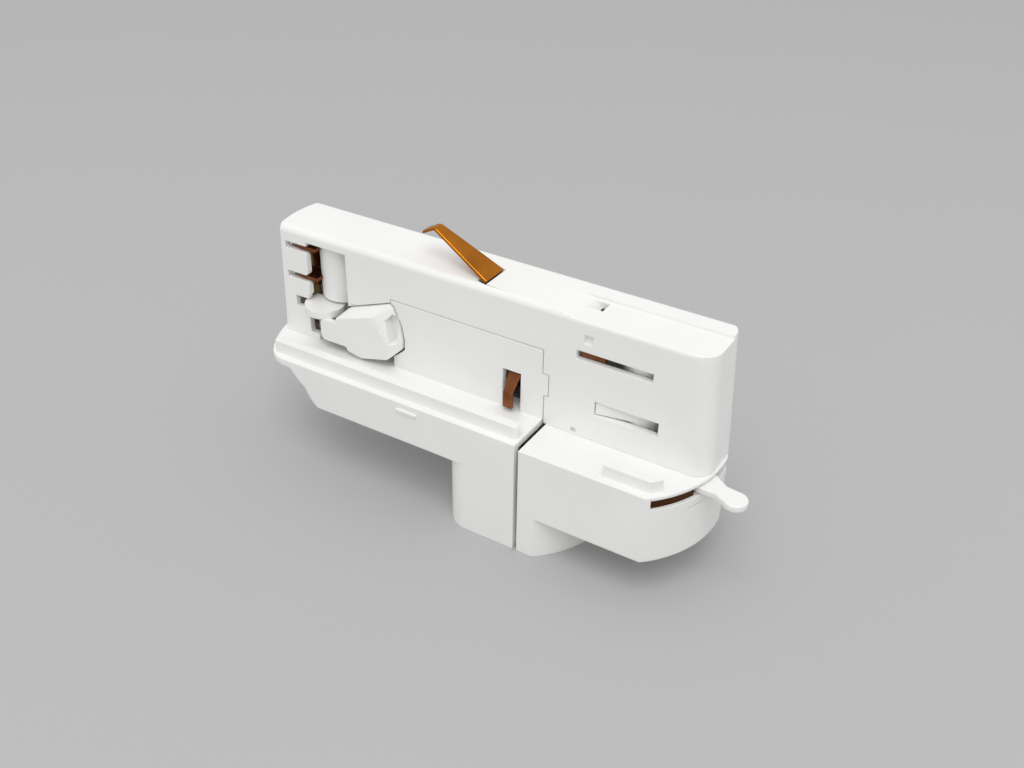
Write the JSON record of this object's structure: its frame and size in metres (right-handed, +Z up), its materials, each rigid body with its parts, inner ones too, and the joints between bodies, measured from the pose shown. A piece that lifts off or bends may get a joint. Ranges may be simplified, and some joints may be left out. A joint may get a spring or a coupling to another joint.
{
  "type": "track light adapter",
  "caption": "Three-circuit track light adapter: slim contact head on a flanged base, turning lock lever, sprung earth contacts and a threaded boss for the luminaire.",
  "frame": {"origin": "mouth of the fixture thread, on its axis, level with the bottom of the boss", "axes": "+X along the track towards the lever, +Z up into the track, -Y the side with the catch and the contact slots"},
  "size_m": [0.1148, 0.0364, 0.0609],
  "materials": {
    "white_moulding": "semi-gloss moulded polycarbonate",
    "terminal_moulding": "matt moulded polyamide",
    "copper": "rolled and stamped, slightly tarnished",
    "bronze": "rolled spring strip, bright",
    "brass": "extruded, machined",
    "zinc_plated_steel": "zinc plated",
    "spring_steel": "drawn wire"
  },
  "bodies": {
    "housing": {"upper_cover": "white_moulding", "left_base": "white_moulding", "right_base": "white_moulding", "thread_bush": "zinc_plated_steel", "clamp_screws": "zinc_plated_steel", "case_screws": "zinc_plated_steel", "terminal_block": "terminal_moulding", "terminal_cages": "brass", "terminal_screws": "zinc_plated_steel", "lever_spring": "copper", "earth_bus": "bronze", "neutral_wiper": "bronze", "phase_wiper": "brass", "catch_pin": "zinc_plated_steel"},
    "lever": {"lock_lever": "white_moulding", "lock_rotor": "white_moulding", "neutral_blade": "copper"},
    "link": {"link_bar": "white_moulding"},
    "phase_drum": {"phase_rotor": "white_moulding", "upper_phase_contact": "copper", "lower_phase_contact": "copper", "far_phase_contact": "copper"},
    "catch": {"side_catch": "white_moulding", "catch_spring": "spring_steel"},
    "top_leaf": {"top_earth_leaf": "bronze"},
    "side_leaf": {"side_earth_leaf": "copper"},
    "selector": {"selector_dial": "terminal_moulding", "selector_wiper": "bronze"}
  },
  "joints": [
    {"name": "lever_turn", "type": "hinge", "parent": "housing", "child": "lever", "pos_m": [0.0194, 0, 0.0241], "axis": [0, 0, 1], "range_deg": [0, 80]},
    {"name": "phase_turn", "type": "hinge", "parent": "housing", "child": "phase_drum", "pos_m": [-0.0555, 0, 0.04], "axis": [0, 0, 1], "range_deg": [0, 80]},
    {"name": "link_swing", "type": "hinge", "parent": "lever", "child": "link", "pos_m": [0.02184, 0.00291, 0.0282], "axis": [0, 0, 1], "range_deg": [-80, 0]},
    {"name": "catch_swing", "type": "hinge", "parent": "housing", "child": "catch", "pos_m": [-0.0572, -0.0056, 0.035], "axis": [0, 0, 1], "range_deg": [0, 7], "stiffness_Nm_per_rad": 0.05},
    {"name": "top_leaf_flex", "type": "hinge", "parent": "housing", "child": "top_leaf", "pos_m": [-0.0153, -0.002, 0.0531], "axis": [0, -1, 0], "range_deg": [0, 18], "stiffness_Nm_per_rad": 0.05},
    {"name": "side_leaf_flex", "type": "hinge", "parent": "housing", "child": "side_leaf", "pos_m": [-0.0078, -0.0055, 0.0352], "axis": [1, 0, 0], "range_deg": [0, 20], "stiffness_Nm_per_rad": 0.02},
    {"name": "selector_turn", "type": "hinge", "parent": "housing", "child": "selector", "pos_m": [-0.0535, 0, 0.017], "axis": [0, 0, 1], "range_deg": [0, 180]}
  ],
  "couplings": [
    {"joint": "phase_turn", "follows": "lever_turn", "ratio": 1},
    {"joint": "link_swing", "follows": "lever_turn", "ratio": -1}
  ]
}
